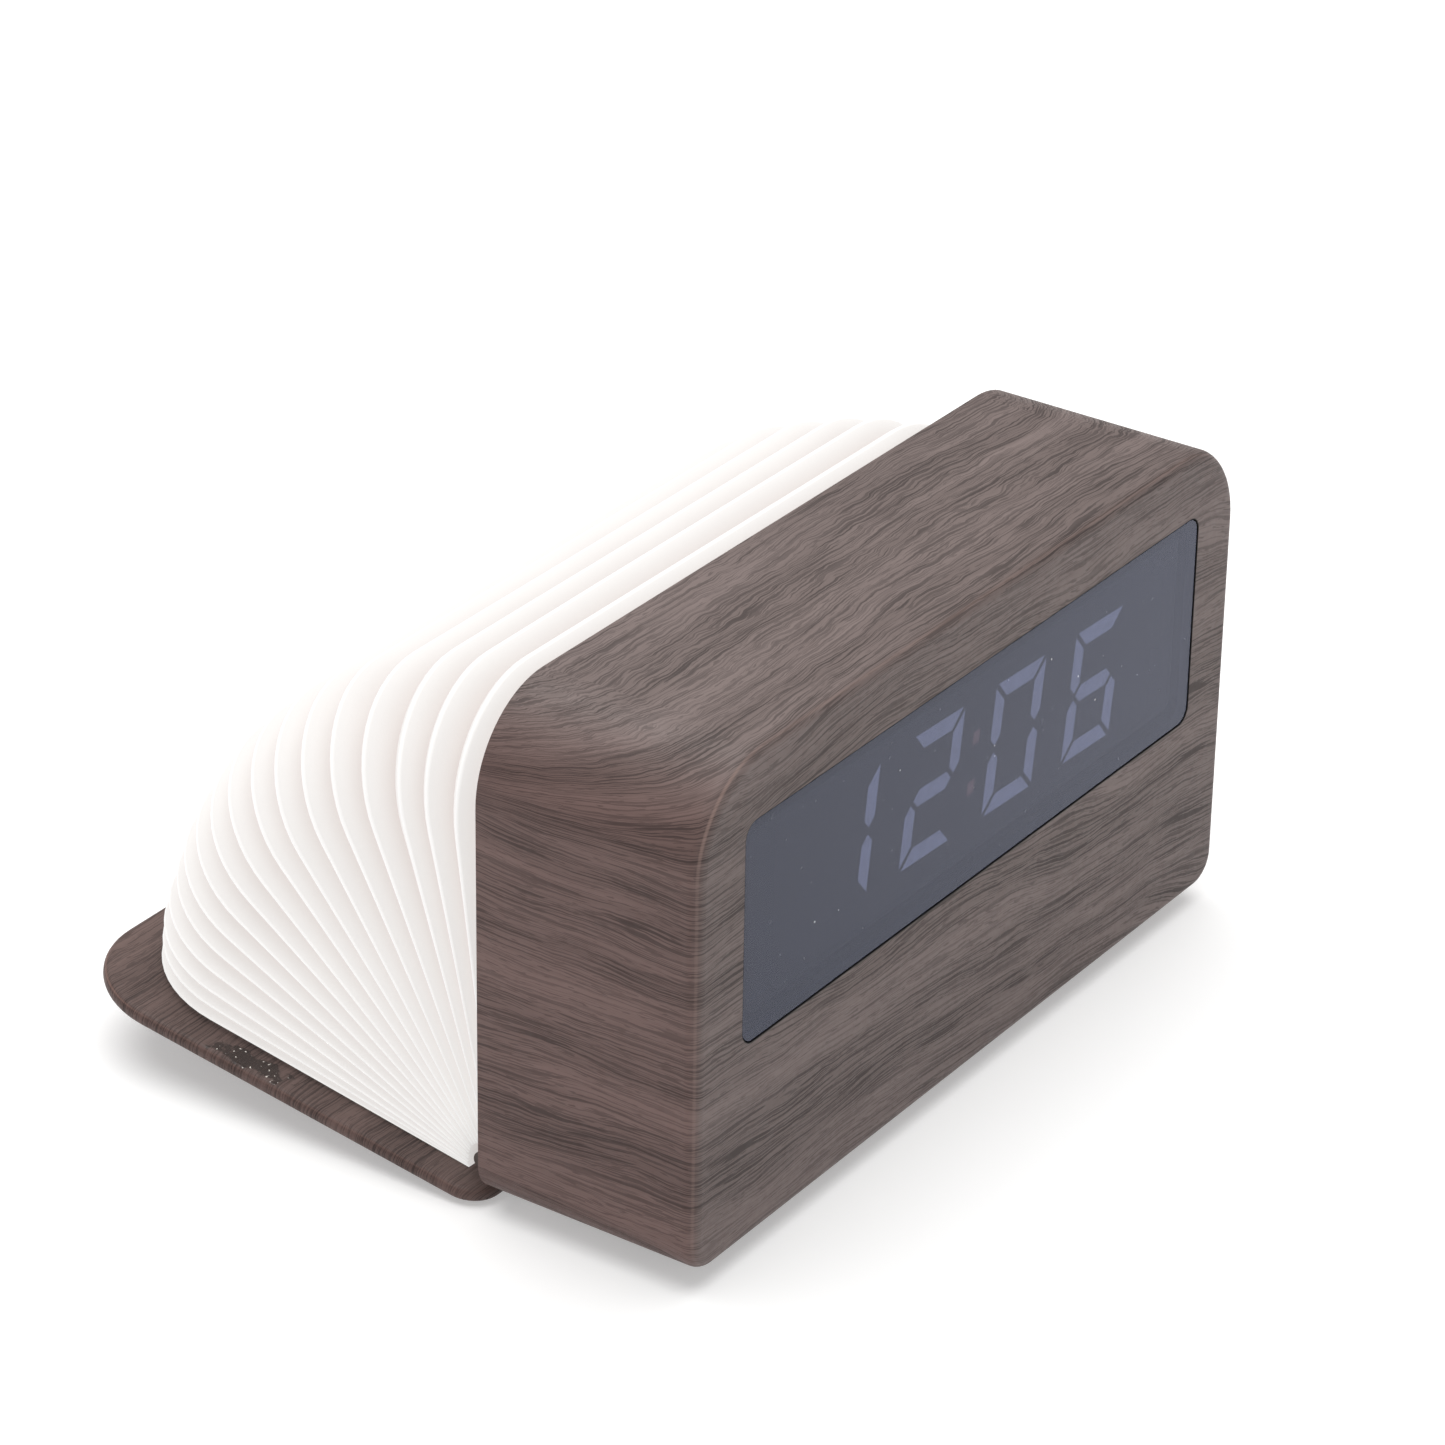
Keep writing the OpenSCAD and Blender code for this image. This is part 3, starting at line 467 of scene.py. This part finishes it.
def paper(name):
    """Thick white art paper: fibres, a painted trace of warm shadow down in the folds, and painted highlights
    along the ridges.
    """
    look = Look(name, roughness=0.85)
    place = look.place
    fold = look.node("ShaderNodeAttribute", attribute_name="fold_depth").outputs["Fac"]
    fibre = look.noise(place, 1900.0, 4.0, 0.65, 0.6)
    cloud = look.noise(place, 55.0, 3.0)
    tone = look.mix(look.spread(cloud, 0.3, 0.7), (0.345, 0.335, 0.33), (0.36, 0.352, 0.345))
    # painted shadow: warmer and darker down in the folds
    tone = look.mix(look.spread(fold, 0.10, 0.7, 0.0, 0.7), tone, (0.29, 0.26, 0.245))
    tone = look.mix(look.spread(fibre, 0.3, 0.7, 0.0, 0.12), tone, (0.32, 0.31, 0.30))
    # painted highlight: paler along the ridges
    look.set("Base Color", look.mix(look.spread(fold, 0.03, 0.0), tone, (0.42, 0.415, 0.41)))
    # light that comes through the thin sheets, less of it down in the folds
    through = look.mix(look.spread(fold, 0.04, 0.55), (1.0, 0.975, 0.955), (0.87, 0.80, 0.77))
    # painted highlight: the ridges glow brighter
    look.set("Emission Color", look.mix(look.spread(fold, 0.03, 0.0), through, (1.12, 1.11, 1.10)))
    look.set("Emission Strength", PAPER_GLOW)
    look.set("Roughness", look.spread(fibre, 0.3, 0.7, 0.78, 0.92))
    look.set("Specular IOR Level", 0.25)
    look.bump(fibre, 0.00004, 0.5)
    return look.material


# ------------------------------------------------------------------ the paper fan
PLEATS = 18
PLEAT_DEPTH = 9.0 * MM
PAPER_INSET = 6.0 * MM
CORNER_R = 25.0 * MM
PAPER_START = 3.4 * MM
PAPER_THICK = 0.15 * MM
# How far the folds lean towards the cover from an even spread; the power puts most of it past the middle
FAN_LEAN = math.radians(7.6)
LEAN_POWER = 1.6
FOLD_GAP = 7.0 * MM
END_GAP = 0.15 * MM
SEED = 12
# How far the folds stray: a ridge from the middle of its pleat, in degrees, and short of its depth;
# and how much a ridge sways and dips along its length. The first and last pleats are held, and stray less.
RIDGE_STRAY = 0.5
RIDGE_SHORT = 0.35 * MM
HELD_STRAY = 0.3
SWAY = math.radians(0.28)
HELD_SWAY = math.radians(0.10)
DIP = 0.22 * MM
LEG_STEPS = 10
CORNER_STEPS = 14
TOP_STEPS = 12
# One side of a pleat, from its ridge inward: (share of the depth, share of the way to the next valley)
PLEAT_SHAPE = [
    (0.0, 0.0), (0.015, 0.10), (0.05, 0.22), (0.11, 0.36), (0.20, 0.50),
    (0.34, 0.64), (0.55, 0.79), (0.78, 0.91), (1.0, 1.0),
]


def fan_angle(share):
    """Angle from the body of a fold that is this share of the way to the cover."""
    return OPEN_ANGLE * share + FAN_LEAN * math.sin(math.pi * share ** LEAN_POWER)


def fold_outline(inset):
    """(x, distance from the pin) along one fold: up the left leg, over the top, down the right leg."""
    half = SHELL_HIGH.x - PAPER_INSET - inset
    reach = SHELL_HIGH.z - PAPER_INSET - PIN.z - inset
    r = CORNER_R - inset / 2
    leg = [(-half, PAPER_START + (reach - r - PAPER_START) * i / LEG_STEPS) for i in range(LEG_STEPS)]
    corner = []
    for i in range(CORNER_STEPS + 1):
        a = math.pi / 2 * i / CORNER_STEPS
        corner.append((-half + r - r * math.cos(a), reach - r + r * math.sin(a)))
    left = leg + corner
    width = half - r
    top = [(-width + 2 * width * i / TOP_STEPS, reach) for i in range(1, TOP_STEPS)]
    return left + top + [(-x, v) for x, v in reversed(left)]


def wander(rng, count, amount):
    """A smooth random curve over count points, within about amount of zero."""
    waves = [(rng.uniform(0.4, 3.2), rng.uniform(0, 2 * math.pi), rng.uniform(0.3, 1.0)) for _ in range(3)]
    total = sum(height for _, _, height in waves)
    full = 2 * math.pi / count
    return [
        amount * sum(height * math.sin(full * turns * i + start) for turns, start, height in waves) / total
        for i in range(count)
    ]


def fold_rows():
    """Rows of (x, distance from the pin, angle, share of the pleat's depth), from the body to the cover."""
    rng = random.Random(SEED)
    columns = len(fold_outline(0.0))
    rows = []
    for pleat in range(PLEATS):
        valley_a, ridge, valley_b = (fan_angle((2 * pleat + k) / (2 * PLEATS)) for k in range(3))
        held = pleat in (0, PLEATS - 1)
        ridge += math.radians(rng.uniform(-RIDGE_STRAY, RIDGE_STRAY)) * (HELD_STRAY if held else 1)
        short = rng.uniform(0, RIDGE_SHORT)
        sway = wander(rng, columns, HELD_SWAY if held else SWAY)
        dip = wander(rng, columns, DIP)
        sides = [(e, f, valley_a) for e, f in reversed(PLEAT_SHAPE)]
        sides += [(e, f, valley_b) for e, f in PLEAT_SHAPE[1:]]
        # a pleat's first row is the last row of the pleat before it
        for e, f, valley in sides[1:] if pleat else sides:
            angle = ridge + (valley - ridge) * f
            outline = fold_outline(PLEAT_DEPTH * e + short * (1 - e))
            rows.append([
                (x, v - (1 - e) * abs(d), angle + s * (1 - f), e) for (x, v), s, d in zip(outline, sway, dip)
            ])
    return rows


def fan_mesh():
    """The paper as one sheet without thickness, with its share of the fold and its depth at each point."""
    rows = fold_rows()
    columns = len(rows[0])
    points, shares, depths = [], [], []
    for x, v, angle, depth in (point for row in rows for point in row):
        share = min(max(angle / OPEN_ANGLE, 0.0), 1.0)
        off = (BACK_Y - PIN.y) + END_GAP + (FOLD_GAP - 2 * END_GAP) * share
        points.append((x, PIN.y + off * math.cos(angle) + v * math.sin(angle),
                       PIN.z - off * math.sin(angle) + v * math.cos(angle)))
        shares.append(share)
        depths.append(depth)
    faces = [
        (r * columns + c, r * columns + c + 1, (r + 1) * columns + c + 1, (r + 1) * columns + c)
        for r in range(len(rows) - 1) for c in range(columns - 1)
    ]
    mesh = bpy.data.meshes.new("paper_fan")
    mesh.from_pydata(points, [], faces)
    for name, values in (("fold_share", shares), ("fold_depth", depths)):
        mesh.attributes.new(name, "FLOAT", "POINT").data.foreach_set("value", values)
    return mesh


def make_paper():
    sheet = bpy.data.objects.new("paper_fan", fan_mesh())
    bpy.context.scene.collection.objects.link(sheet)
    thicken = sheet.modifiers.new("Thickness", "SOLIDIFY")
    thicken.thickness = PAPER_THICK
    thicken.offset = 0
    thick = bpy.data.meshes.new_from_object(sheet.evaluated_get(bpy.context.evaluated_depsgraph_get()))
    sheet.modifiers.clear()
    sheet.data = thick
    for polygon in thick.polygons:
        polygon.use_smooth = True
    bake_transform(sheet, "clock_body", "cover",
             start=(0, BACK_Y, PIN.z), end=(0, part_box("back_cover")[1].y, PIN.z))
    # each fold turns with its own share of the hinge's angle, so that the shut fan lies flat
    shares = [0.0] * len(thick.vertices)
    thick.attributes["fold_share"].data.foreach_get("value", shares)
    thick.attributes["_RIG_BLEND"].data.foreach_set("value", shares)
    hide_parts("paper_bellows")
    dress(sheet, paper("bellows_paper"))


# ------------------------------------------------------------------ materials of the carried-over CAD nodes
def dress_nodes():
    nodes = frame["nodes"]
    dress(nodes["housing_shell"], wood_film("wood_film_body", SHELL_LOW.y))
    # the cover's film is darkened by painted shade
    dress(nodes["back_cover"], wood_film(
        "wood_film_cover", BACK_Y + FOLD_GAP, turned=OPEN_ANGLE, redden=0.4, shade=COVER_PAINTED_SHADE, glued=True))
    dress(nodes["display_window"], smoked_window("smoked_acrylic", srgb(80, 84, 103), 0.76))
    looks = {
        "panel_plastic": moulded("panel_plastic", srgb(84, 72, 68), 0.6),
        "black_adhesive": moulded("black_adhesive", srgb(24, 24, 26), 0.7),
        "grey_plastic": moulded("grey_plastic", srgb(26, 27, 31), 0.8),
        "lit_segment": glowing("lit_segment", srgb(150, 160, 205), srgb(172, 182, 226), 3.0),
        "dark_segment": moulded("dark_segment", srgb(28, 29, 33), 0.7),
        "colon_plastic": glowing("colon_plastic", srgb(140, 116, 122), srgb(170, 130, 140), 1.8),
        "board_green": circuit_board("board_green", srgb(22, 86, 58)),
        "led_chip": glowing("led_chip", srgb(240, 222, 150), srgb(255, 235, 180), 0.05),
        "black_chip": moulded("black_chip", srgb(30, 31, 34), 0.6, 2600.0),
        "steel": metal("steel", (0.62, 0.62, 0.64)),
        "tin": metal("tin", (0.68, 0.69, 0.72), 0.4),
        "black_plastic": moulded("black_plastic", srgb(34, 35, 38), 0.6),
        "cream_plastic": moulded("cream_plastic", srgb(226, 222, 205), 0.5),
        "ribbon": moulded("ribbon", srgb(217, 215, 208), 0.45),
        "button_brown": moulded("button_brown", srgb(62, 53, 50), 0.5, 2200.0, 0.35),
        "cell_wrap": moulded("cell_wrap", srgb(52, 118, 184), 0.25),
        "red_lead": moulded("red_lead", srgb(176, 34, 30), 0.45),
        "black_lead": moulded("black_lead", srgb(24, 24, 24), 0.45),
        "white_lead": moulded("white_lead", srgb(220, 216, 206), 0.45),
        "white_board": moulded("white_board", srgb(232, 232, 228), 0.5),
        "opal_acrylic": moulded("opal_acrylic", srgb(244, 241, 234), 0.3),
        "magnet": metal("magnet", (0.72, 0.74, 0.77), 0.18),
        "pad_rubber": moulded("pad_rubber", srgb(34, 34, 34), 0.8, 1200.0, 0.4, 0.00006),
    }
    for part in frame["record"]["subparts"]:
        if part["material_slot"] in looks:
            dress(nodes[part["node"]], looks[part["material_slot"]])


# ------------------------------------------------------------------ floor
FLOOR_HALF = 6.0
FLOOR_GLOW = 0.35


def make_floor():
    mesh = bpy.data.meshes.new("floor")
    corners = [(x * FLOOR_HALF, y * FLOOR_HALF, 0) for x, y in ((-1, -1), (1, -1), (1, 1), (-1, 1))]
    mesh.from_pydata(corners, [], [(0, 1, 2, 3)])
    floor = bpy.data.objects.new("floor", mesh)
    bpy.context.scene.collection.objects.link(floor)
    look = Look("floor_paper", roughness=0.9)
    cloud = look.noise(look.place, 3.0, 2.0)
    look.set("Base Color", look.mix(look.spread(cloud, 0.3, 0.7), (0.74, 0.74, 0.74), (0.76, 0.76, 0.76)))
    look.set("Emission Color", (1.0, 1.0, 1.0))
    look.set("Emission Strength", FLOOR_GLOW)
    dress(floor, look.material)


make_camera()
make_paper()
dress_nodes()
make_floor()
make_sky()
make_key_light()
bpy.context.scene.view_settings.view_transform = "Standard"
